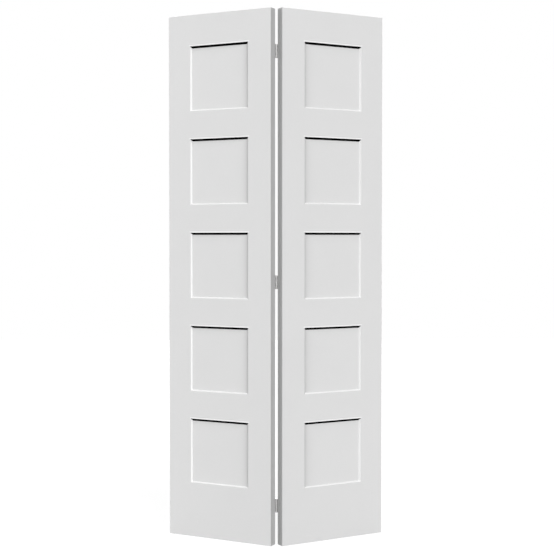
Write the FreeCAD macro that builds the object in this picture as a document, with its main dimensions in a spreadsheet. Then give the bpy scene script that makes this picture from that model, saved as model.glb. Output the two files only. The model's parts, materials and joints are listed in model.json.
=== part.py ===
import FreeCAD, Part
import os
import re
import Sketcher
from FreeCAD import Placement, Rotation, Vector

# A bifold closet door: two moulded hollow-core leaves that fold back to back on three butt hinges.
#
# Everything is drawn in the frame of its leaf. The leaf frame's Z axis is the line of the hinge
# pins, its X axis runs along the leaf (to the right for the lead leaf, to the left for the pivot
# leaf) and its Y axis points to the closet side. Each leaf is then turned by fold_angle about
# the pins, so that the pair stands in a V with its fold towards -Y, on the floor plane Z = 0.
# The origin is the middle of the floor area that the standing pair takes up.

doc = FreeCAD.newDocument("bifold_closet_door")

# Each size in millimetres, or in degrees for an angle.
DRIVING_SIZES = {
    # leaves
    "leaf_width": 444.5,
    "leaf_height": 2007,
    "leaf_thickness": 35,
    "fold_angle": 28,             # how far each leaf is turned out of the closed plane
    "fold_clearance": 4.76,       # between the leaf edges when the door is closed
    # moulded faces
    "skin_thickness": 3.2,
    "stile_face": 97,
    "top_rail_face": 121,
    "mid_rail_face": 109.4,
    "bottom_rail_face": 209,
    "end_recess_trim": 3.6,       # how much lower the top and bottom recesses are than the rest
    "recess_depth": 5,
    "recess_slope": 4,            # width of the sloping sides, seen from the front
    # frame inside the leaf
    "stile_width": 30,
    "top_rail_height": 45,
    "bottom_rail_height": 90,
    # paper core
    "kraft_thickness": 0.8,
    "core_clearance": 0.1,
    "core_wave": 112,             # length of one wave of a core strip
    # hinges
    "top_hinge_drop": 156,        # from the top of the leaf to the middle of the hinge
    "bottom_hinge_rise": 146,
    "middle_hinge_offset": 10.5,  # below the middle between the other two
    "knuckle_length": 9.8,
    "knuckle_gap": 0.3,
    "flap_thickness": 2.2,
    "flap_reach": 26,             # from the pin's axis to the flap's free edge
    "flap_corner": 4,
    "pin_radius": 3.2,
    "pin_clearance": 0.05,
    "pin_head_height": 1.5,
    "pin_head_rim": 0.6,          # of the barrel's end, left bare round the pin's head
    # hinge screws
    "screw_radius": 1.75,
    "screw_length": 19,
    "screw_point": 4,
    "screw_clearance": 0.05,
    "screw_land": 0.4,            # of the flap, left whole under the sunk head
    "pilot_spare": 1,             # depth of the pilot hole past the screw's point
    "screw_near": 11,             # from the pin's axis
    "screw_far": 19,
    "screw_spread": 16.5,         # from the hinge's middle to its upper and lower screws
    "drive_length": 4,            # cross recess in the screw head
    "drive_width": 0.9,
    "drive_depth": 1.1,
    # bores for the top pivot, the bottom pivot and the track guide
    "pivot_bore_radius": 4.7625,
    "pivot_bore_depth": 44.5,
    "pivot_bore_wall": 3,         # of wood between the bore and the stile's inner side
}

RECESS_ROWS = 5
CORE_STRIPS = 8
KNUCKLES = 5

# Sizes that follow from the driving ones.
DERIVED_SIZES = {
    "fold_sine": "sin(fold_angle * 1 deg)",
    "fold_cosine": "cos(fold_angle * 1 deg)",
    # the flap is rolled round the pin, which lies one barrel radius behind the back faces
    "pin_bore_radius": "pin_radius + pin_clearance",
    "barrel_radius": "pin_bore_radius + flap_thickness",
    "front_plane": "leaf_thickness + barrel_radius",
    "back_plane": "barrel_radius",
    "leaf_start": "fold_clearance / 2",
    "leaf_end": "leaf_start + leaf_width",
    "pin_line": "(front_plane + back_plane) / 2 * fold_cosine"
                " - (leaf_start + leaf_end) / 2 * fold_sine",
    "middle_recess": f"(leaf_height - top_rail_face - bottom_rail_face"
                     f" - {RECESS_ROWS - 1} * mid_rail_face + 2 * end_recess_trim)"
                     f" / {RECESS_ROWS}",
    "recess_taper": "atan(recess_slope / recess_depth)",
    # how far the back of a sloping side lies outside its front, for an even skin
    "dish_margin": "skin_thickness * tan(atan(recess_depth / recess_slope) / 2)",
    "hinge_height": f"{KNUCKLES} * knuckle_length",
    "pin_head_radius": "barrel_radius - pin_head_rim",
    "screw_bore_radius": "screw_radius + screw_clearance",
    "screw_sink_depth": "flap_thickness - screw_land",
    "screw_head_radius": "screw_radius + screw_sink_depth",
    "screw_sink_radius": "screw_head_radius + screw_clearance",
    "pilot_depth": "screw_length - flap_thickness - skin_thickness + pilot_spare",
    "core_thickness": "leaf_thickness - 2 * (skin_thickness + recess_depth + core_clearance)",
    "pivot_bore_place": "leaf_end - stile_width + pivot_bore_wall + pivot_bore_radius",
    "leaf_middle_plane": "(front_plane + back_plane) / 2",
}

HINGE_PLACES = {
    "top": "leaf_height - top_hinge_drop",
    "middle": "(leaf_height - top_hinge_drop + bottom_hinge_rise) / 2 - middle_hinge_offset",
    "bottom": "bottom_hinge_rise",
}

# The leaf that stands at the jamb runs to the left of the pins, the lead leaf to the right.
LEAVES = {"pivot": -1, "lead": 1}

sheet = doc.addObject("Spreadsheet::Sheet", "Sizes")
row = 0
for alias, content in list(DRIVING_SIZES.items()) + list(DERIVED_SIZES.items()):
    row += 1
    sheet.set(f"A{row}", alias)
    sheet.set(f"B{row}", f"={content}" if alias in DERIVED_SIZES else str(content))
    sheet.setAlias(f"B{row}", alias)
doc.recompute()

SIZE_NAME = re.compile(r"\b(" + "|".join([*DRIVING_SIZES, *DERIVED_SIZES]) + r")\b")


def bound(expression):
    """The expression with the sheet's name before each size, as other objects must write it."""
    return SIZE_NAME.sub(r"Sizes.\1", expression)


def value(expression):
    """What the expression comes to now, as a plain number."""
    result = sheet.evalExpression(expression)
    return float(getattr(result, "Value", result))


# ---------------------------------------------------------------- sketches and features

def new_body(label):
    body = doc.addObject("PartDesign::Body", label)
    body.Label = label
    return body


def new_sketch(body, name, plane, offset="0"):
    """A sketch on one of the body's own origin planes, moved along that plane's normal."""
    sketch = body.newObject("Sketcher::SketchObject", f"{body.Label}_{name}")
    base = [feature for feature in body.Origin.OriginFeatures if feature.Role == plane][0]
    sketch.AttachmentSupport = (base, [""])
    sketch.MapMode = "FlatFace"
    sketch.AttachmentOffset = Placement(Vector(0, 0, value(offset)), Rotation())
    sketch.setExpression("AttachmentOffset.Base.z", bound(offset))
    return sketch


def hold_point(sketch, geometry, point, across, up):
    """Hold one point of a sketch at two expressions, measured from the sketch's origin."""
    for kind, axis, expression in (("DistanceX", -2, across), ("DistanceY", -1, up)):
        if value(expression) == 0:
            sketch.addConstraint(Sketcher.Constraint("PointOnObject", geometry, point, axis))
            continue
        held = Sketcher.Constraint(kind, -1, 1, geometry, point, value(expression))
        index = sketch.addConstraint(held)
        sketch.setExpression(f"Constraints[{index}]", bound(expression))


def polygon(sketch, corners):
    """A closed outline through corners, each a pair of expressions."""
    first = sketch.GeometryCount
    count = len(corners)
    points = [Vector(value(across), value(up), 0) for across, up in corners]
    for i in range(count):
        sketch.addGeometry(Part.LineSegment(points[i], points[(i + 1) % count]))
    for i in range(count):
        joined = Sketcher.Constraint("Coincident", first + i, 2, first + (i + 1) % count, 1)
        sketch.addConstraint(joined)
        hold_point(sketch, first + i, 1, *corners[i])


def rectangle(sketch, left, right, low, high):
    polygon(sketch, [(left, low), (right, low), (right, high), (left, high)])


def circle(sketch, across, up, radius):
    centre = Vector(value(across), value(up), 0)
    index = sketch.addGeometry(Part.Circle(centre, Vector(0, 0, 1), value(radius)))
    hold_point(sketch, index, 3, across, up)
    sized = sketch.addConstraint(Sketcher.Constraint("Radius", index, value(radius)))
    sketch.setExpression(f"Constraints[{sized}]", bound(radius))


def pad(sketch, length, reverse=False, narrowing=None):
    """Add material along the sketch's normal, or against it."""
    body = sketch.getParentGeoFeatureGroup()
    feature = body.newObject("PartDesign::Pad", f"{sketch.Name}_pad")
    feature.Profile = sketch
    feature.Reversed = reverse
    feature.setExpression("Length", bound(length))
    if narrowing:
        feature.setExpression("TaperAngle", bound(f"-({narrowing})"))
    sketch.Visibility = False


def pocket(sketch, length, reverse=False, narrowing=None):
    """Cut against the sketch's normal, or along it, and see that material went away."""
    body = sketch.getParentGeoFeatureGroup()
    doc.recompute()
    before = body.Shape.Volume
    feature = body.newObject("PartDesign::Pocket", f"{sketch.Name}_pocket")
    feature.Profile = sketch
    feature.Reversed = reverse
    feature.setExpression("Length", bound(length))
    if narrowing:
        feature.setExpression("TaperAngle", bound(f"-({narrowing})"))
    sketch.Visibility = False
    doc.recompute()
    if body.Shape.Volume > before - 1e-3:
        raise RuntimeError(f"{feature.Name} cuts nothing")


def hang_on_pins(part, side, along="0", behind="0", height="0"):
    """Turn a part with its leaf. along, behind and height place its origin in the leaf frame."""
    part.Placement = Placement(Vector(), Rotation(Vector(0, 0, 1), side * value("fold_angle")))
    across = f"{side} * (({along}) * fold_cosine - ({behind}) * fold_sine)"
    depth = f"pin_line + ({along}) * fold_sine + ({behind}) * fold_cosine"
    part.setExpression("Placement.Base.x", bound(across))
    part.setExpression("Placement.Base.y", bound(depth))
    part.setExpression("Placement.Base.z", bound(height))
    part.setExpression("Placement.Rotation.Angle", bound(f"{side} * fold_angle * 1 deg"))


# ---------------------------------------------------------------- the leaves

def recess_limits(row):
    """Lowest and highest line of a recess's opening, counting rows from the top."""
    high = f"leaf_height - top_rail_face - {row} * (middle_recess + mid_rail_face)"
    if row > 0:
        high += " + end_recess_trim"
    low = f"{high} - middle_recess"
    if row in (0, RECESS_ROWS - 1):
        low += " + end_recess_trim"
    return low, high


def screw_places(height):
    """Where the screws of the hinge at this height sit: distance from the pins, and height."""
    return [
        ("screw_near", f"{height} + screw_spread"),
        ("screw_far", height),
        ("screw_near", f"{height} - screw_spread"),
    ]


def all_screw_places():
    return [place for height in HINGE_PLACES.values() for place in screw_places(height)]


def skin(leaf, face):
    """A moulded fibreboard sheet of even thickness with a column of recessed panels."""
    side = LEAVES[leaf]
    body = new_body(f"{leaf}_{face}_skin")
    outer = f"{face}_plane"
    inward = face == "front"
    inner = f"{outer} - skin_thickness" if inward else f"{outer} + skin_thickness"

    sheet_outline = new_sketch(body, "sheet", "XZ_Plane", outer)
    rectangle(sheet_outline, f"{side} * leaf_start", f"{side} * leaf_end", "0", "leaf_height")
    pad(sheet_outline, "skin_thickness", reverse=inward)

    dishes = new_sketch(body, "dishes", "XZ_Plane", inner)
    recesses = new_sketch(body, "recesses", "XZ_Plane", outer)
    near = "leaf_start + stile_face"
    far = "leaf_end - stile_face"
    for row in range(RECESS_ROWS):
        low, high = recess_limits(row)
        rectangle(dishes,
                  f"{side} * ({near} - dish_margin)", f"{side} * ({far} + dish_margin)",
                  f"{low} - dish_margin", f"{high} + dish_margin")
        rectangle(recesses, f"{side} * ({near})", f"{side} * ({far})", low, high)
    pad(dishes, "recess_depth", reverse=inward, narrowing="recess_taper")
    pocket(recesses, "recess_depth", reverse=not inward, narrowing="recess_taper")

    if face == "back":
        holes = new_sketch(body, "screw_holes", "XZ_Plane", outer)
        for along, height in all_screw_places():
            circle(holes, f"{side} * {along}", height, "screw_bore_radius")
        pocket(holes, "skin_thickness", reverse=True)
    hang_on_pins(body, side)


def stick(leaf, name, start, end, low, length):
    """A wooden stick of the leaf's frame, as thick as the space between the skins."""
    side = LEAVES[leaf]
    body = new_body(f"{leaf}_{name}")
    section = new_sketch(body, "section", "XY_Plane", low)
    rectangle(section, f"{side} * ({start})", f"{side} * ({end})",
              "skin_thickness - front_plane", "-skin_thickness - back_plane")
    pad(section, length)
    hang_on_pins(body, side)
    return body


def hinge_stile(leaf):
    """The stile along the hinges, with a pilot hole for each hinge screw."""
    side = LEAVES[leaf]
    body = stick(leaf, "hinge_stile", "leaf_start", "leaf_start + stile_width",
                 "0", "leaf_height")
    pilots = new_sketch(body, "pilot_holes", "XZ_Plane", "back_plane + skin_thickness")
    for along, height in all_screw_places():
        circle(pilots, f"{side} * {along}", height, "screw_bore_radius")
    pocket(pilots, "pilot_depth", reverse=True)


def outer_stile(leaf, bored_ends):
    """The stile along the outer edge, bored in its ends for the pivots or the track guide."""
    side = LEAVES[leaf]
    body = stick(leaf, "outer_stile", "leaf_end - stile_width", "leaf_end", "0", "leaf_height")
    for end in bored_ends:
        at_top = end == "top"
        bore = new_sketch(body, f"{end}_bore", "XY_Plane", "leaf_height" if at_top else "0")
        circle(bore, f"{side} * pivot_bore_place", "-leaf_middle_plane", "pivot_bore_radius")
        pocket(bore, "pivot_bore_depth", reverse=not at_top)


def rail(leaf, name, low, height):
    stick(leaf, name, "leaf_start + stile_width", "leaf_end - stile_width", low, height)


def core(leaf):
    """Expanded kraft paper: strips folded in waves, each one against the next one's crests.

    The waves have no sketch: their number follows from the height of the cavity."""
    side = LEAVES[leaf]
    clear = value("core_clearance")
    kraft = value("kraft_thickness")
    left = value("leaf_start + stile_width") + clear
    right = value("leaf_end - stile_width") - clear
    low = value("bottom_rail_height") + clear
    high = value("leaf_height - top_rail_height") - clear
    waves = round((high - low) / value("core_wave"))
    quarter = (high - low) / waves / 4
    step = (right - left + clear) / CORE_STRIPS
    swing = step - kraft - clear
    front = -value("leaf_middle_plane") - value("core_thickness") / 2
    strips = []
    for strip in range(CORE_STRIPS):
        line = []
        for wave in range(waves):
            foot = low + wave * 4 * quarter
            for turn, crest in ((0, 0), (1, 0), (2, 1), (3, 1)):
                reach = crest if strip % 2 == 0 else 1 - crest
                line.append((left + strip * step + reach * swing, foot + turn * quarter))
        start_reach = 0 if strip % 2 == 0 else 1
        line.append((left + strip * step + start_reach * swing, high))
        there = [Vector(side * across, front, up) for across, up in line]
        back = [Vector(side * (across + kraft), front, up) for across, up in reversed(line)]
        section = Part.Face(Part.makePolygon(there + back + there[:1]))
        strips.append(section.extrude(Vector(0, value("core_thickness"), 0)))
    part = doc.addObject("Part::Feature", f"{leaf}_core")
    part.Label = f"{leaf}_core"
    part.Shape = Part.makeCompound(strips)
    hang_on_pins(part, side)


# ---------------------------------------------------------------- the hinges

def knuckle_start(number):
    return f"({number} * knuckle_length - hinge_height / 2)"


def flap(hinge, leaf):
    """A hinge flap, flat on the back of its leaf, rolled round the pin in every other knuckle.

    The pivot flap has the odd knuckles, counted from the bottom, and the lead flap the even
    ones, a knuckle_gap shorter at each end."""
    side = LEAVES[leaf]
    body = new_body(f"{hinge}_hinge_{leaf}_flap")
    plate = new_sketch(body, "plate", "XZ_Plane", "back_plane")
    rectangle(plate, "0", f"{side} * flap_reach", "-hinge_height / 2", "hinge_height / 2")
    pad(plate, "flap_thickness", reverse=True)

    barrel = new_sketch(body, "barrel", "XY_Plane", "-hinge_height / 2")
    circle(barrel, "0", "0", "barrel_radius")
    pad(barrel, "hinge_height")

    clear = "(barrel_radius + knuckle_gap)"
    notches = new_sketch(body, "notches", "XZ_Plane", clear)
    first = 1 if leaf == "pivot" else 0
    spare = "0" if leaf == "pivot" else "knuckle_gap"
    for number in range(first, KNUCKLES, 2):
        low = f"{knuckle_start(number)} - {spare}"
        high = f"{knuckle_start(number + 1)} + {spare}"
        rectangle(notches, f"-{clear}", clear, low, high)
    pocket(notches, f"2 * {clear}")

    bore = new_sketch(body, "bore", "XY_Plane", "hinge_height / 2")
    circle(bore, "0", "0", "pin_bore_radius")
    pocket(bore, "hinge_height")

    holes = new_sketch(body, "screw_holes", "XZ_Plane", "back_plane")
    sinks = new_sketch(body, "screw_sinks", "XZ_Plane", "back_plane - flap_thickness")
    for along, height in screw_places("0"):
        circle(holes, f"{side} * {along}", height, "screw_bore_radius")
        circle(sinks, f"{side} * {along}", height, "screw_sink_radius")
    pocket(holes, "flap_thickness")
    pocket(sinks, "screw_sink_depth", reverse=True, narrowing="45 deg")

    corners = []
    for number, edge in enumerate(body.Shape.Edges, start=1):
        box = edge.BoundBox
        outermost = abs(side * box.Center.x - value("flap_reach")) < 1e-6
        if outermost and abs(box.YLength - value("flap_thickness")) < 1e-6:
            corners.append(f"Edge{number}")
    cut_plate = body.Tip
    rounding = body.newObject("PartDesign::Fillet", f"{body.Label}_corners")
    rounding.Base = (cut_plate, corners)
    rounding.setExpression("Radius", bound("flap_corner"))
    body.Tip = rounding
    hang_on_pins(body, side, height=HINGE_PLACES[hinge])


def pin(hinge):
    """A plain pin with a chamfered head peened over each end of the barrel."""
    body = new_body(f"{hinge}_hinge_pin")
    profile = new_sketch(body, "profile", "XZ_Plane")
    end = "hinge_height / 2"
    rim = f"({end} + pin_head_height / 2)"
    tip = f"({end} + pin_head_height)"
    flat = "(pin_head_radius - pin_head_height / 2)"
    polygon(profile, [
        ("0", f"-{tip}"), (flat, f"-{tip}"), ("pin_head_radius", f"-{rim}"),
        ("pin_head_radius", f"-{end}"), ("pin_radius", f"-{end}"),
        ("pin_radius", end), ("pin_head_radius", end),
        ("pin_head_radius", rim), (flat, tip), ("0", tip),
    ])
    turned = body.newObject("PartDesign::Revolution", f"{body.Label}_turned")
    turned.Profile = profile
    turned.ReferenceAxis = (profile, ["V_Axis"])
    turned.Angle = 360
    hang_on_pins(body, LEAVES["pivot"], height=HINGE_PLACES[hinge])


def screw():
    """One countersunk wood screw, its head's face at the origin and its point along -Y."""
    body = new_body("screw")
    profile = new_sketch(body, "profile", "XY_Plane")
    polygon(profile, [
        ("0", "0"), ("screw_head_radius", "0"), ("screw_radius", "-screw_sink_depth"),
        ("screw_radius", "screw_point - screw_length"), ("0", "-screw_length"),
    ])
    turned = body.newObject("PartDesign::Revolution", "screw_turned")
    turned.Profile = profile
    turned.ReferenceAxis = (profile, ["V_Axis"])
    turned.Angle = 360
    drive = new_sketch(body, "drive", "XZ_Plane")
    arm = "(drive_length / 2)"
    half = "(drive_width / 2)"
    polygon(drive, [
        (arm, half), (half, half), (half, arm), (f"-{half}", arm),
        (f"-{half}", half), (f"-{arm}", half), (f"-{arm}", f"-{half}"), (f"-{half}", f"-{half}"),
        (f"-{half}", f"-{arm}"), (half, f"-{arm}"), (half, f"-{half}"), (arm, f"-{half}"),
    ])
    pocket(drive, "drive_depth", reverse=True)
    return body


def screws(hinge, leaf, pattern):
    """The three screws of one flap, flush with the flap's outer face."""
    side = LEAVES[leaf]
    placed = []
    for number, (along, height) in enumerate(screw_places(HINGE_PLACES[hinge]), start=1):
        link = doc.addObject("App::Link", f"{hinge}_{leaf}_screw_{number}")
        link.LinkedObject = pattern
        hang_on_pins(link, side, along, "flap_thickness - back_plane", height)
        placed.append(link)
    group = doc.addObject("Part::Compound", f"{hinge}_hinge_{leaf}_screws")
    group.Label = f"{hinge}_hinge_{leaf}_screws"
    group.Links = placed


# ---------------------------------------------------------------- assembly

def build():
    for leaf in LEAVES:
        skin(leaf, "front")
        skin(leaf, "back")
        hinge_stile(leaf)
        outer_stile(leaf, ("top", "bottom") if leaf == "pivot" else ("top",))
        rail(leaf, "top_rail", "leaf_height - top_rail_height", "top_rail_height")
        rail(leaf, "bottom_rail", "0", "bottom_rail_height")
        core(leaf)
    pattern = screw()
    for hinge in HINGE_PLACES:
        pin(hinge)
        for leaf in LEAVES:
            flap(hinge, leaf)
            screws(hinge, leaf, pattern)
    doc.recompute()
    kinds = ("PartDesign::Body", "Part::Feature", "Part::Compound")
    return [part for part in doc.Objects if part.TypeId in kinds and part != pattern]


def check(parts):
    for item in doc.Objects:
        if "Invalid" in item.State or "Error" in item.State:
            raise RuntimeError(f"{item.Label} is in state {item.State}")
    for part in parts:
        if part.Shape.isNull() or not part.Shape.isValid():
            raise RuntimeError(f"{part.Label} has no valid shape")


def write(parts):
    os.makedirs("parts", exist_ok=True)
    for part in parts:
        part.Shape.exportStep(f"parts/{part.Label}.step")
    whole = Part.makeCompound([part.Shape for part in parts]).BoundBox
    print(len(parts), "nodes,", round(whole.XLength, 1), "x", round(whole.YLength, 1), "x",
          round(whole.ZLength, 1), "mm, floor at", round(whole.ZMin, 3))


sub_parts = build()
check(sub_parts)
write(sub_parts)
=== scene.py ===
import json
import math

import bmesh
import bpy
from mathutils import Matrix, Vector

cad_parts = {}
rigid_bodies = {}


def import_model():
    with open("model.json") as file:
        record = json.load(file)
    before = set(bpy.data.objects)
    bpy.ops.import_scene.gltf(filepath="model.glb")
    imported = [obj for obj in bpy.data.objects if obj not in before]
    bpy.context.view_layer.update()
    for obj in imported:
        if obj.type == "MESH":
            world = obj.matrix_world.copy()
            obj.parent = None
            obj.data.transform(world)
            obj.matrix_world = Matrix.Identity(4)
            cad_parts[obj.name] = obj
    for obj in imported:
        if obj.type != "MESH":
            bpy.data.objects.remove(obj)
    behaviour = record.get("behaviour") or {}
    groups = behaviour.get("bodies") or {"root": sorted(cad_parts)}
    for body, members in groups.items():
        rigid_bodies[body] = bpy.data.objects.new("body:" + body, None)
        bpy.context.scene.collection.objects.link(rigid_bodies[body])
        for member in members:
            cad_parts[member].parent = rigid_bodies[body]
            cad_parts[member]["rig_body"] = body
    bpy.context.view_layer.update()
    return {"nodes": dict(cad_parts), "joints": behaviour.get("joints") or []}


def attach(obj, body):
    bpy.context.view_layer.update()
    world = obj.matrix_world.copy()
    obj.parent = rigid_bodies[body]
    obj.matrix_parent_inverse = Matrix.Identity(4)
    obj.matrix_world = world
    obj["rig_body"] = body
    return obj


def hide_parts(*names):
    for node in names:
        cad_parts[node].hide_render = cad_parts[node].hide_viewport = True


# The looks of a primed bifold closet door. Every piece follows the shape and place of the CAD
# node that it stands for. Lengths are metres.
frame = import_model()

MM = 0.001
SIDES = {"pivot": -1, "lead": 1}    # the pivot leaf is the one on the left
SNAP = 5                            # decimals to which a corner's place is read

# The hinge pins stand at X 0 and PIN_Y. At the joint's lower limit the leaves lie in one plane, and
# each of them is turned out of it by FOLD.
fold_joint = frame["joints"][0]
PIN_Y = fold_joint["pos_m"][1]
FOLD = math.radians(-fold_joint["range_deg"][0] / 2)


# ---------------------------------------------------------------- the leaf frame

def to_leaf(side, point):
    """A point in its leaf's own frame: along the leaf from the pins, behind the pins, and up."""
    across = side * point.x
    depth = point.y - PIN_Y
    return Vector((
        across * math.cos(FOLD) + depth * math.sin(FOLD),
        depth * math.cos(FOLD) - across * math.sin(FOLD),
        point.z,
    ))


def from_leaf(side, place):
    along, behind, up = place
    return Vector((
        side * (along * math.cos(FOLD) - behind * math.sin(FOLD)),
        PIN_Y + along * math.sin(FOLD) + behind * math.cos(FOLD),
        up,
    ))


def leaf_corners(node, side):
    return [to_leaf(side, vertex.co) for vertex in frame["nodes"][node].data.vertices]


def steps(values):
    """The different values, in order."""
    return sorted({round(value, SNAP) for value in values})


# ---------------------------------------------------------------- node materials

def new_material(name):
    material = bpy.data.materials.new(name)
    material.use_nodes = True
    tree = material.node_tree
    return material, tree, tree.nodes["Principled BSDF"]


def add(tree, kind, inputs=None, **settings):
    """A new node. A socket given as an input is linked, and any other value is set."""
    node = tree.nodes.new(kind)
    for name, value in settings.items():
        setattr(node, name, value)
    for name, value in (inputs or {}).items():
        if isinstance(value, bpy.types.NodeSocket):
            tree.links.new(value, node.inputs[name])
        else:
            node.inputs[name].default_value = value
    return node


def calculate(tree, operation, *values):
    return add(tree, "ShaderNodeMath", dict(enumerate(values)), operation=operation).outputs[0]


def place_of(tree, stretch=(1, 1, 1)):
    """Where a point is on its piece, from the piece's own measured places."""
    spot = add(tree, "ShaderNodeAttribute", attribute_name="place").outputs["Vector"]
    scaled = add(tree, "ShaderNodeVectorMath", {0: spot, 1: stretch}, operation="MULTIPLY")
    return scaled.outputs["Vector"]


def noise(tree, spot, scale, detail=2.0, rough=0.5):
    inputs = {"Vector": spot, "Scale": scale, "Detail": detail, "Roughness": rough}
    return add(tree, "ShaderNodeTexNoise", inputs).outputs["Fac"]


def spread(tree, value, low, high, start=0.3, end=0.7):
    """The value's run from start to end, stretched from low to high."""
    inputs = {"Value": value, "From Min": start, "From Max": end, "To Min": low, "To Max": high}
    return add(tree, "ShaderNodeMapRange", inputs, clamp=True).outputs["Result"]


# the sockets of a Mix node that it uses for colours
MIX_SHARE, MIX_FIRST, MIX_SECOND, MIX_RESULT = 0, 6, 7, 2


def blend_colours(tree, share, first, second):
    inputs = {MIX_SHARE: share, MIX_FIRST: first, MIX_SECOND: second}
    return add(tree, "ShaderNodeMix", inputs, data_type="RGBA").outputs[MIX_RESULT]


def grey(tone):
    return (tone, tone, tone, 1)


def tinted(colour, share):
    return tuple(channel * share for channel in colour[:3]) + (1,)


def rough_ground(tree, height, distance, under=None):
    """A bump as deep as distance, over the one under it if there is one."""
    inputs = {"Height": height, "Distance": distance, "Strength": 1.0}
    if under is not None:
        inputs["Normal"] = under
    return add(tree, "ShaderNodeBump", inputs).outputs["Normal"]


PAINT_ROUGHNESS = (0.37, 0.48)  # where it is smoothest and where it is roughest
CLOUDING = 0.012               # how far the clouds move the paint's tone, either way
GRAIN_SHADE = 0.05             # how much darker the grain's lines are
PEEL_DEPTH = 0.06 * MM         # height of the spray primer's orange peel
FIBRE_DEPTH = 0.012 * MM
GRAIN_DEPTH = 0.05 * MM        # of the wood's grain, which the primer on the stiles doesn't fill

# painted shade: how much darker the primer is made at a recess's hinge side and top, and how far
# that reaches
SIDE_SHADE, SIDE_SHADE_REACH = 0.2, 12.5 * MM
TOP_SHADE, TOP_SHADE_REACH = 0.085, 10 * MM


def corner_painted_shade(tree, colour):
    """The colour with painted shade, darker towards the hinge side and the top of a recess."""
    spot = add(tree, "ShaderNodeAttribute", attribute_name="nook").outputs["Vector"]
    parts = add(tree, "ShaderNodeSeparateXYZ", {"Vector": spot}).outputs
    painted_shade = None
    for distance, reach, share in ((parts["X"], SIDE_SHADE_REACH, SIDE_SHADE),
                                   (parts["Y"], TOP_SHADE_REACH, TOP_SHADE)):
        fall = calculate(tree, "EXPONENT", calculate(tree, "DIVIDE", distance, -reach))
        amount = calculate(tree, "MULTIPLY", fall, share)
        painted_shade = amount if painted_shade is None else calculate(tree, "MAXIMUM", painted_shade, amount)
    return blend_colours(tree, painted_shade, colour, grey(0.0))


def primed_paint(name, tone, with_corner_shade=False, over_wood=False):
    """White factory primer: faint clouds, the orange peel of the spray, and fine fibre under it.

    Over wood it also lets through grain that runs up the door."""
    material, tree, surface = new_material(name)
    clouds = noise(tree, place_of(tree), scale=7, detail=3)
    mottle = noise(tree, place_of(tree), scale=130, detail=2)
    mixed = calculate(tree, "ADD", spread(tree, clouds, 0, 0.6), spread(tree, mottle, 0, 0.4))
    colour = blend_colours(tree, mixed, grey(tone * (1 - CLOUDING)), grey(tone * (1 + CLOUDING)))
    # painted shade, darker towards each recess's hinge side and top
    if with_corner_shade:
        colour = corner_painted_shade(tree, colour)
    if over_wood:
        grain = noise(tree, place_of(tree, (1, 1, 0.02)), scale=520, detail=4, rough=0.6)
        colour = blend_colours(tree, spread(tree, grain, GRAIN_SHADE, 0.0), colour, grey(0.0))
    tree.links.new(colour, surface.inputs["Base Color"])
    gloss = noise(tree, place_of(tree), scale=34, detail=4, rough=0.6)
    tree.links.new(spread(tree, gloss, *PAINT_ROUGHNESS), surface.inputs["Roughness"])
    peel = rough_ground(tree, noise(tree, place_of(tree), scale=430, detail=1), PEEL_DEPTH)
    if over_wood:
        ground = rough_ground(tree, grain, GRAIN_DEPTH, under=peel)
    else:
        fibre = noise(tree, place_of(tree), scale=1900, detail=3, rough=0.65)
        ground = rough_ground(tree, fibre, FIBRE_DEPTH, under=peel)
    tree.links.new(ground, surface.inputs["Normal"])
    return material


def reveal_shadow(name):
    """The downward slope at the top of each recess, painted near black as the shadow under the
    rail.
    """
    material, tree, surface = new_material(name)
    dust = noise(tree, place_of(tree), scale=260, detail=3)
    colour = blend_colours(tree, spread(tree, dust, 0, 1), grey(0.0012), grey(0.003))
    tree.links.new(colour, surface.inputs["Base Color"])
    surface.inputs["Roughness"].default_value = 0.9
    surface.inputs["Specular IOR Level"].default_value = 0.0
    return material


def fibreboard(name):
    """The raw edge of a moulded skin: dense brown fibre."""
    material, tree, surface = new_material(name)
    fibre = noise(tree, place_of(tree), scale=900, detail=5, rough=0.7)
    patches = noise(tree, place_of(tree), scale=60, detail=3)
    dark, light = (0.19, 0.115, 0.062, 1), (0.33, 0.215, 0.125, 1)
    pale = tinted(light, 1.25)
    colour = blend_colours(tree, spread(tree, fibre, 0, 1), dark, light)
    faded = blend_colours(tree, spread(tree, patches, 0, 0.35), colour, pale)
    tree.links.new(faded, surface.inputs["Base Color"])
    surface.inputs["Roughness"].default_value = 0.85
    tree.links.new(rough_ground(tree, fibre, distance=0.1 * MM), surface.inputs["Normal"])
    return material


YEAR_RING = 3.4 * MM
RING_DRIFT = 12 * MM           # how far the rings wander from true circles


def bare_pine(name):
    """Planed pine whose heart runs along the third axis of a piece's measured places."""
    material, tree, surface = new_material(name)
    spot = place_of(tree)
    drift = noise(tree, place_of(tree, (1, 1, 0.08)), scale=18, detail=3)
    parts = add(tree, "ShaderNodeSeparateXYZ", {"Vector": spot}).outputs
    flat = add(tree, "ShaderNodeCombineXYZ", {"X": parts["X"], "Y": parts["Y"], "Z": 0.0})
    reach = add(tree, "ShaderNodeVectorMath", {0: flat.outputs[0]}, operation="LENGTH")
    wander = calculate(tree, "MULTIPLY", drift, RING_DRIFT)
    rings = calculate(tree, "ADD", reach.outputs["Value"], wander)
    turns = calculate(tree, "FRACT", calculate(tree, "DIVIDE", rings, YEAR_RING))
    late = calculate(tree, "POWER", turns, 3.0)
    pores = noise(tree, place_of(tree, (1, 1, 0.03)), scale=1500, detail=3, rough=0.7)
    early_wood, late_wood = (0.62, 0.455, 0.28, 1), (0.43, 0.26, 0.125, 1)
    pore_wood = tinted(early_wood, 0.62)
    ringed = blend_colours(tree, late, early_wood, late_wood)
    colour = blend_colours(tree, spread(tree, pores, 0, 0.35), ringed, pore_wood)
    tree.links.new(colour, surface.inputs["Base Color"])
    tree.links.new(spread(tree, pores, 0.55, 0.75), surface.inputs["Roughness"])
    ridges = rough_ground(tree, late, distance=0.05 * MM)
    ground = rough_ground(tree, pores, distance=0.06 * MM, under=ridges)
    tree.links.new(ground, surface.inputs["Normal"])
    return material


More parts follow.
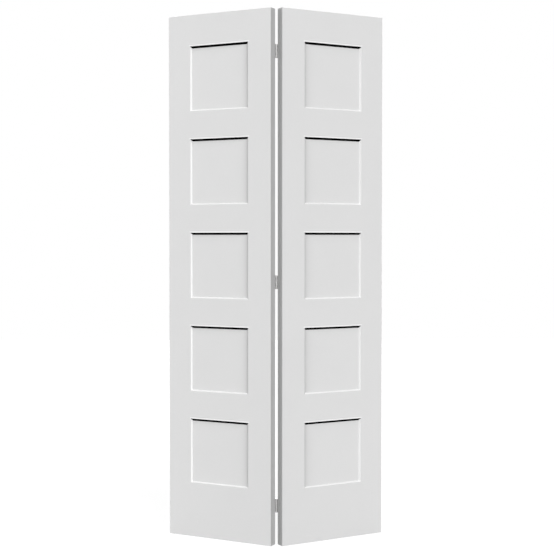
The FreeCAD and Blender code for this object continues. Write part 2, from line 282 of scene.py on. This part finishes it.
def kraft_paper(name):
    """Unbleached paper with fibres, for the core. It reads the object's own coordinates."""
    material, tree, surface = new_material(name)
    spot = add(tree, "ShaderNodeTexCoord").outputs["Object"]
    fibres = noise(tree, spot, scale=800, detail=5, rough=0.7)
    blotches = noise(tree, spot, scale=45, detail=2)
    mixed = calculate(tree, "ADD", spread(tree, fibres, 0, 0.7), spread(tree, blotches, 0, 0.3))
    dark, light = (0.3, 0.19, 0.1, 1), (0.5, 0.35, 0.21, 1)
    colour = blend_colours(tree, mixed, dark, light)
    tree.links.new(colour, surface.inputs["Base Color"])
    surface.inputs["Roughness"].default_value = 0.9
    tree.links.new(rough_ground(tree, fibres, distance=0.05 * MM), surface.inputs["Normal"])
    return material


def worked_metal(name, colour, roughness, brushing, depth):
    """Steel, brushed along the axes in which brushing is small.

    roughness is where it is smoothest and where it is roughest, and depth is that of the lines."""
    material, tree, surface = new_material(name)
    lines = noise(tree, place_of(tree, brushing), scale=1500, detail=4, rough=0.6)
    stains = noise(tree, place_of(tree), scale=120, detail=3)
    dark, light, stained = (tinted(colour, share) for share in (0.9, 1.06, 0.78))
    shade = blend_colours(tree, spread(tree, lines, 0, 1), dark, light)
    spotted = blend_colours(tree, spread(tree, stains, 0, 0.25), shade, stained)
    tree.links.new(spotted, surface.inputs["Base Color"])
    surface.inputs["Metallic"].default_value = 1.0
    tree.links.new(spread(tree, stains, *roughness), surface.inputs["Roughness"])
    tree.links.new(rough_ground(tree, lines, depth), surface.inputs["Normal"])
    return material


PRIMER, HIGHLIGHT_PRIMER, EDGE_SHADE_PRIMER = 0.72, 0.9, 0.5     # how white it is: plain, a painted highlight, and painted shade on the long edges

PAINTED = primed_paint("primed_face", PRIMER)
# the panel's primer carries painted shade at each recess's hinge side and top
PANEL = primed_paint("primed_panel_painted_shade", PRIMER, with_corner_shade=True)
# lighter primer, a painted highlight on the outer slopes and the band above each recess
SLOPE_HIGHLIGHT = primed_paint("primed_slope_painted_highlight", HIGHLIGHT_PRIMER)
# near-black primer, a painted shadow under the top of each recess
REVEAL_PAINTED_SHADOW = reveal_shadow("reveal_painted_shadow")
# darker primer on the long edges, a painted shade; the grain through it is the wood's own
SHADED_EDGE_PAINT = primed_paint("primed_edge_painted_shade", EDGE_SHADE_PRIMER, over_wood=True)
RAW_BOARD = fibreboard("raw_fibreboard")
PINE = bare_pine("bare_pine")
KRAFT = kraft_paper("kraft_paper")
NICKEL = worked_metal("satin_nickel", (0.57, 0.57, 0.565, 1), roughness=(0.52, 0.64),
                      brushing=(1, 1, 0.03), depth=0.004 * MM)
TURNED = worked_metal("turned_steel", (0.52, 0.52, 0.51, 1), roughness=(0.41, 0.53),
                      brushing=(0.05, 0.05, 1), depth=0.004 * MM)
ZINC = worked_metal("zinc_plate", (0.58, 0.58, 0.57, 1), roughness=(0.24, 0.36),
                    brushing=(1, 1, 1), depth=0.003 * MM)


# ---------------------------------------------------------------- making pieces

SHARP = math.radians(32)       # edges that turn more than this stay sharp, or are eased


def add_piece(name, tool, side, node, materials, spot=lambda place: place, nook=None):
    """Turns a mesh drawn in the leaf frame into the finished piece that replaces a CAD node.

    spot gives what the materials read as a vertex's place on its piece, and nook how far it is
    from the hinge side and the top of its recess."""
    places = tool.verts.layers.float_vector.new("place")
    nooks = tool.verts.layers.float_vector.new("nook") if nook else None
    for vertex in tool.verts:
        vertex[places] = spot(vertex.co.copy())
        if nook:
            vertex[nooks] = nook(vertex.co.copy())
        vertex.co = from_leaf(side, vertex.co)
    tool.normal_update()
    bmesh.ops.recalc_face_normals(tool, faces=tool.faces)
    for face in tool.faces:
        face.smooth = True
    mesh = bpy.data.meshes.new(name)
    tool.to_mesh(mesh)
    tool.free()
    mesh.set_sharp_from_angle(angle=SHARP)
    for material in materials:
        mesh.materials.append(material)
    piece = bpy.data.objects.new(name, mesh)
    bpy.context.scene.collection.objects.link(piece)
    weighted = piece.modifiers.new("flat_faces_stay_flat", "WEIGHTED_NORMAL")
    weighted.keep_sharp = True
    weighted.weight = 100
    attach(piece, frame["nodes"][node]["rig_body"])
    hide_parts(node)
    return piece


# ---------------------------------------------------------------- the moulded skins

ARRIS = 1.0 * MM               # radius where a face turns down into a recess
COVE = 1.6 * MM                # radius at the foot of the slope
ARRIS_BAND = 4.6 * MM          # of the face above each recess, painted lighter as a highlight
REVEAL_LIP = 1.2 * MM          # how far the painted shadow line reaches onto the face
REVEAL_FOOT = 1.8 * MM         # and onto the panel
EDGE_EASE = 0.7 * MM           # radius along the leaf's outer edges
SEAM_EASE = 0.25 * MM          # along the joint of skin and frame
ROUND_STEPS = 4                # of each rounding
LEVEL_SLACK = 0.1 * MM         # corners within this are at the same depth

# each skin shows another stretch of the same finish
LEAF_SHIFT, FACE_SHIFT = 1.3, 0.4

# a skin's finishes, by their places in its list of materials; the lighter slope is a painted
# highlight, the dark line a painted shadow, and the long edges and the panels carry painted shade
FACE, HIGHLIGHT, SHADOW, RAW_EDGE, LONG_EDGE, SHADED_PANEL = range(6)
SKIN_MATERIALS = [PAINTED, SLOPE_HIGHLIGHT, REVEAL_PAINTED_SHADOW, RAW_BOARD, SHADED_EDGE_PAINT, PANEL]


def skin_lines(leaf, face):
    """The outer plane of a skin, which way is inward, and its lines at each depth.

    At each depth they are the places along the leaf and the heights of the sheet's edges and of
    the recesses' sides. The front skin has no holes, so it gives them for both."""
    side = SIDES[leaf]
    corners = leaf_corners(f"{leaf}_front_skin", side)
    front = min(corner.y for corner in corners)
    lines = {}
    for depth in steps(corner.y - front for corner in corners):
        level = [corner for corner in corners
                 if abs(corner.y - front - depth) < LEVEL_SLACK]
        lines[depth] = steps(corner.x for corner in level), steps(corner.z for corner in level)
    if face == "front":
        return front, 1, lines
    back = max(corner.y for corner in leaf_corners(f"{leaf}_back_skin", side))
    return back, -1, lines


def slope_profile(width, depth):
    """(inset, depth) points from the face, round the arris, down the slope and round the cove."""
    tilt = math.atan2(depth, width)
    points = []
    for radius, sign, x, y in ((ARRIS, 1, 0, 0), (COVE, -1, width, depth)):
        tangent = radius * math.tan(tilt / 2)
        for step in range(ROUND_STEPS + 1):
            turn = tilt * step / ROUND_STEPS if sign > 0 else tilt * (1 - step / ROUND_STEPS)
            start = x - sign * tangent
            points.append((start + sign * radius * math.sin(turn),
                           y + sign * radius * (1 - math.cos(turn))))
    return points


def grid_faces(tool, along, up, depth, place):
    """A flat sheet with a hole in its middle column for every other row. Returns its vertices."""
    verts = [[tool.verts.new(place(x, z, depth)) for z in up] for x in along]
    for column in range(len(along) - 1):
        for row in range(len(up) - 1):
            if column == 1 and row % 2 == 1:
                continue
            tool.faces.new([verts[column][row], verts[column + 1][row],
                            verts[column + 1][row + 1], verts[column][row + 1]])
    return verts


def border(verts):
    """The vertices round the rim of a grid, in order."""
    last_column, last_row = len(verts) - 1, len(verts[0]) - 1
    rim = [verts[column][0] for column in range(last_column)]
    rim += [verts[last_column][row] for row in range(last_row)]
    rim += [verts[column][last_row] for column in range(last_column, 0, -1)]
    rim += [verts[0][row] for row in range(last_row, 0, -1)]
    return rim


def face_rings(slope, recess):
    """The rings round a recess in the outer face: inset, depth, and the finishes of its strips.

    The four finishes are for the strips below, on the outer side, above and on the hinge side."""
    profile = slope_profile(slope, recess)
    lip = profile[0][0] - REVEAL_LIP
    return [
        (lip - ARRIS_BAND, 0.0, None),
        (lip, 0.0, (FACE, FACE, HIGHLIGHT, FACE)),
        (*profile[0], (FACE, FACE, SHADOW, FACE)),
        *((*point, (FACE, HIGHLIGHT, SHADOW, SHADED_PANEL)) for point in profile[1:]),
        (profile[-1][0] + REVEAL_FOOT, recess, (SHADED_PANEL, SHADED_PANEL, SHADOW, SHADED_PANEL)),
    ]


def dish(tool, mouth, rings, place):
    """The sides and floor of one recess, whose mouth is four vertices of the sheet."""
    low, high = (mouth[0].co.x, mouth[0].co.z), (mouth[2].co.x, mouth[2].co.z)
    start = rings[0][0]
    ring = mouth
    for inset, depth, finishes in rings[1:]:
        step = inset - start
        spots = ((low[0] + step, low[1] + step), (high[0] - step, low[1] + step),
                 (high[0] - step, high[1] - step), (low[0] + step, high[1] - step))
        inner = [tool.verts.new(place(x, z, depth)) for x, z in spots]
        for edge in range(4):
            after = (edge + 1) % 4
            wall = tool.faces.new([ring[edge], ring[after], inner[after], inner[edge]])
            wall.material_index = finishes[edge]
        ring = inner
    tool.faces.new(ring).material_index = SHADED_PANEL


def opened(values, margin):
    """The lines of the recesses' sides, each pair moved apart by margin."""
    return [value - margin if index % 2 == 0 else value + margin
            for index, value in enumerate(values)]


def dished_sheet(tool, sheet, inset, rings, place):
    """One face of a skin, drawn in by inset at its edges, with a dish where each recess is."""
    margin, depth = -rings[0][0], rings[0][1]
    along, up = ([values[0] + inset, *opened(values[1:-1], margin), values[-1] - inset]
                 for values in sheet)
    verts = grid_faces(tool, along, up, depth, place)
    for row in range(1, len(up) - 1, 2):
        mouth = [verts[1][row], verts[2][row], verts[2][row + 1], verts[1][row + 1]]
        dish(tool, mouth, rings, place)
    return verts


def drawn_in(value, start, end, inset):
    """The value, set at inset from the end that it is near, if it is near one."""
    if value < start + 2 * EDGE_EASE:
        return start + inset
    if value > end - 2 * EDGE_EASE:
        return end - inset
    return value


def close_rim(tool, outer, inner, sheet, seam_depth, place):
    """The skin's own edge, from the eased rim of the outer face to the seam on the frame."""
    turns = [math.pi / 2 * step / ROUND_STEPS for step in range(1, ROUND_STEPS + 1)]
    profile = [(EDGE_EASE * (1 - math.sin(turn)), EDGE_EASE * (1 - math.cos(turn)))
               for turn in turns]
    profile.append((0.0, seam_depth))
    (start, *_, end), (foot, *_, head) = sheet
    rim = border(outer)
    spots = [vertex.co.copy() for vertex in rim]
    rings = [rim]
    for inset, depth in profile:
        rings.append([tool.verts.new(place(drawn_in(spot.x, start, end, inset),
                                           drawn_in(spot.z, foot, head, inset), depth))
                      for spot in spots])
    rings.append(border(inner))
    for step, (ring, after) in enumerate(zip(rings, rings[1:])):
        # the face's primer runs round the eased edge, and the end below it is raw
        end_finish = FACE if step < ROUND_STEPS else RAW_EDGE
        for index in range(len(ring)):
            other = (index + 1) % len(ring)
            wall = tool.faces.new([ring[index], ring[other], after[other], after[index]])
            at_end = abs(ring[index].co.z - ring[other].co.z) < EDGE_EASE
            wall.material_index = end_finish if at_end else LONG_EDGE


def skin_piece(leaf, face):
    side = SIDES[leaf]
    plane, inward, lines = skin_lines(leaf, face)
    surface, thickness, recess, inner_recess = sorted(lines)
    sheet, inner_sheet = lines[surface], lines[thickness]
    panel, inner_panel = lines[recess], lines[inner_recess]
    tool = bmesh.new()

    def place(x, z, depth):
        return Vector((x, plane + inward * depth, z))

    outer_rings = face_rings(panel[0][0] - sheet[0][1], recess)
    inner_slope = inner_panel[0][0] - inner_sheet[0][1]
    inner_rings = [(0, thickness, None), (inner_slope, inner_recess, (RAW_EDGE,) * 4)]
    outer = dished_sheet(tool, sheet, EDGE_EASE, outer_rings, place)
    inner = dished_sheet(tool, inner_sheet, SEAM_EASE, inner_rings, place)
    close_rim(tool, outer, inner, sheet, thickness - SEAM_EASE, place)

    def nook(spot):
        """How far a point is from its recess's hinge side and from the dark line at its top."""
        tops = [top - REVEAL_FOOT for top in panel[1][1::2]]
        above = [top for top in tops if top > spot.z - EDGE_EASE] or tops[-1:]
        return Vector((spot.x - panel[0][0], above[0] - spot.z, 0.0))

    shift = Vector((side * LEAF_SHIFT, inward * FACE_SHIFT, 0.0))
    node = f"{leaf}_{face}_skin"
    add_piece(f"{node}_finished", tool, side, node, SKIN_MATERIALS,
              spot=lambda spot: spot + shift, nook=nook)


# ---------------------------------------------------------------- sticks and hardware

SMALL_RIM = 15 * MM            # round the pilot holes, which the screws hide
WELD = 0.001 * MM              # corners nearer than this are one
FLAT = math.radians(0.3)       # faces that turn less than this are one
EASE_SEGMENTS = 2
PIN_EASE, FLAP_EASE, SCREW_EASE = 0.3 * MM, 0.25 * MM, 0.08 * MM

PRIMED, BARE = range(2)
# the stiles' primer is painted darker, as shade
STICK_MATERIALS = [SHADED_EDGE_PAINT, PINE]
END_FACING = 0.6               # how nearly up or down the faces of an end look


def joined_groups(edges):
    """The edges as lists, in each of which they hang together."""
    left = {edge.index: edge for edge in edges}
    while left:
        group = []
        reached = [left.pop(next(iter(left)))]
        while reached:
            group.append(reached.pop())
            for vertex in group[-1].verts:
                reached += [left.pop(edge.index) for edge in vertex.link_edges
                            if edge.index in left]
        yield group


def eased_shape(node, side, ease):
    """The node's own shape in the leaf frame, with its sharp edges rounded."""
    tool = bmesh.new()
    tool.from_mesh(frame["nodes"][node].data)
    for vertex in tool.verts:
        vertex.co = to_leaf(side, vertex.co)
    bmesh.ops.remove_doubles(tool, verts=tool.verts, dist=WELD)
    bmesh.ops.dissolve_limit(tool, angle_limit=FLAT, verts=tool.verts, edges=tool.edges)
    tool.normal_update()
    tool.edges.index_update()
    sharp = [edge for edge in tool.edges
             if len(edge.link_faces) == 2 and edge.calc_face_angle() > SHARP]
    for group in list(joined_groups(sharp)):
        if sum(edge.calc_length() for edge in group) > SMALL_RIM:
            bmesh.ops.bevel(tool, geom=group, offset=ease, offset_type="OFFSET",
                            segments=EASE_SEGMENTS, profile=0.5, affect="EDGES",
                            clamp_overlap=True)
    bmesh.ops.dissolve_degenerate(tool, dist=WELD, edges=tool.edges)
    tool.normal_update()
    return tool


def stick_piece(leaf, name, heart, upright):
    """A primed stile, which stands upright, or a bare rail.

    heart is where its middle lies from the heart of the tree, across the stick and through it."""
    side = SIDES[leaf]
    node = f"{leaf}_{name}"
    tool = eased_shape(node, side, SEAM_EASE)
    corners = leaf_corners(node, side)
    middle = sum(corners, Vector()) / len(corners)
    for stick_face in tool.faces:
        at_end = abs(stick_face.normal.z) > END_FACING
        stick_face.material_index = PRIMED if upright and not at_end else BARE

    def spot(place):
        """Across, through and along the grain, of which each leaf shows another stretch."""
        off = place - middle
        if upright:
            return Vector((off.x + heart[0], off.y + heart[1], off.z + side))
        return Vector((off.z + heart[0], off.y + heart[1], off.x + side))

    add_piece(f"{node}_finished", tool, side, node, STICK_MATERIALS, spot=spot)


def metal_piece(node, side, ease, metal):
    tool = eased_shape(node, side, ease)
    add_piece(f"{node}_finished", tool, side, node, [metal])


for leaf, side in SIDES.items():
    for face in ("front", "back"):
        skin_piece(leaf, face)
    stick_piece(leaf, "hinge_stile", heart=(side * 38 * MM, 31 * MM), upright=True)
    stick_piece(leaf, "outer_stile", heart=(side * -52 * MM, 24 * MM), upright=True)
    stick_piece(leaf, "top_rail", heart=(44 * MM, side * 36 * MM), upright=False)
    stick_piece(leaf, "bottom_rail", heart=(-60 * MM, side * 28 * MM), upright=False)
    frame["nodes"][f"{leaf}_core"].data.materials.clear()
    frame["nodes"][f"{leaf}_core"].data.materials.append(KRAFT)

for hinge in ("top", "middle", "bottom"):
    metal_piece(f"{hinge}_hinge_pin", SIDES["pivot"], PIN_EASE, TURNED)
    for leaf, side in SIDES.items():
        metal_piece(f"{hinge}_hinge_{leaf}_flap", side, FLAP_EASE, NICKEL)
        metal_piece(f"{hinge}_hinge_{leaf}_screws", side, SCREW_EASE, ZINC)


# ---------------------------------------------------------------- stage, lights and camera

FLOOR_REACH = 9.0              # from its middle to its edges
FLOOR_TONE = 0.28
FLOOR_GLOW = 0.75              # what makes the lit floor white to the camera


def seen_directly(tree):
    """1 for what the camera, a reflection or a view through glass sees, and 0 for bounced light."""
    path = add(tree, "ShaderNodeLightPath").outputs
    direct = calculate(tree, "MAXIMUM", path["Is Camera Ray"], path["Is Glossy Ray"])
    return calculate(tree, "MAXIMUM", direct, path["Is Transmission Ray"])


def make_floor():
    tool = bmesh.new()
    bmesh.ops.create_grid(tool, x_segments=1, y_segments=1, size=FLOOR_REACH)
    mesh = bpy.data.meshes.new("floor")
    tool.to_mesh(mesh)
    tool.free()
    floor = bpy.data.objects.new("floor", mesh)
    bpy.context.scene.collection.objects.link(floor)
    material, tree, surface = new_material("pale_floor")
    surface.inputs["Base Color"].default_value = grey(FLOOR_TONE)
    surface.inputs["Roughness"].default_value = 1.0
    surface.inputs["Specular IOR Level"].default_value = 0.0
    surface.inputs["Emission Color"].default_value = grey(1.0)
    glow = calculate(tree, "MULTIPLY", seen_directly(tree), FLOOR_GLOW)
    tree.links.new(glow, surface.inputs["Emission Strength"])
    mesh.materials.append(material)


WORLD_LIGHT = 0.22             # on the door, where the camera sees plain white


def make_world():
    world = bpy.data.worlds.new("studio")
    bpy.context.scene.world = world
    world.use_nodes = True
    tree = world.node_tree
    background = tree.nodes["Background"]
    background.inputs["Color"].default_value = grey(1.0)
    direct = seen_directly(tree)
    extra = calculate(tree, "MULTIPLY", direct, 1.0 - WORLD_LIGHT)
    strength = calculate(tree, "ADD", extra, WORLD_LIGHT)
    tree.links.new(strength, background.inputs["Strength"])


def make_lamp(name, azimuth, rise, strength, softness):
    """A far lamp. Azimuth 0 is the camera's side, 90 degrees is the right, and rise is upwards."""
    towards = Vector((math.sin(azimuth) * math.cos(rise),
                      -math.cos(azimuth) * math.cos(rise),
                      math.sin(rise)))
    lamp = bpy.data.lights.new(name, "SUN")
    lamp.energy = strength
    lamp.angle = softness
    holder = bpy.data.objects.new(name, lamp)
    bpy.context.scene.collection.objects.link(holder)
    holder.rotation_mode = "QUATERNION"
    holder.rotation_quaternion = (-towards).to_track_quat("-Z", "Y")


LAMPS = {                       # azimuth, rise, strength and softness, with angles in degrees
    "key": (32, 37, 2.38, 35),
    "fill": (-32, 35, 0.79, 35),
    "side": (-80, 15, 0.924, 35),
    "back": (180, 35, 2.12, 40),
}

# The photograph is 554 pixels square, and its camera points a little above the middle.
IMAGE_SIZE = 554
FOCAL_LENGTH = 1199.6           # in pixels
AXIS_ROW = 269.6                # the row that the camera points at
SENSOR = 36.0                   # in millimetres, as Blender takes it
CAMERA_PLACE = (-0.0688, -4.5805, 1.1528)
CAMERA_DROP = math.radians(1.5)         # how far it looks down
CAMERA_TURN = math.radians(0.905)       # how far it looks to the right


def make_camera():
    data = bpy.data.cameras.new("camera")
    camera = bpy.data.objects.new("camera", data)
    bpy.context.scene.collection.objects.link(camera)
    data.sensor_width = SENSOR
    data.lens = FOCAL_LENGTH / IMAGE_SIZE * SENSOR
    data.shift_y = -(IMAGE_SIZE / 2 - AXIS_ROW) / IMAGE_SIZE
    camera.location = CAMERA_PLACE
    camera.rotation_euler = (math.pi / 2 - CAMERA_DROP, 0, -CAMERA_TURN)
    bpy.context.scene.camera = camera


make_floor()
make_world()
for lamp_name, (azimuth, rise, strength, softness) in LAMPS.items():
    make_lamp(lamp_name, math.radians(azimuth), math.radians(rise), strength,
              math.radians(softness))
make_camera()
bpy.context.scene.view_settings.view_transform = "Standard"
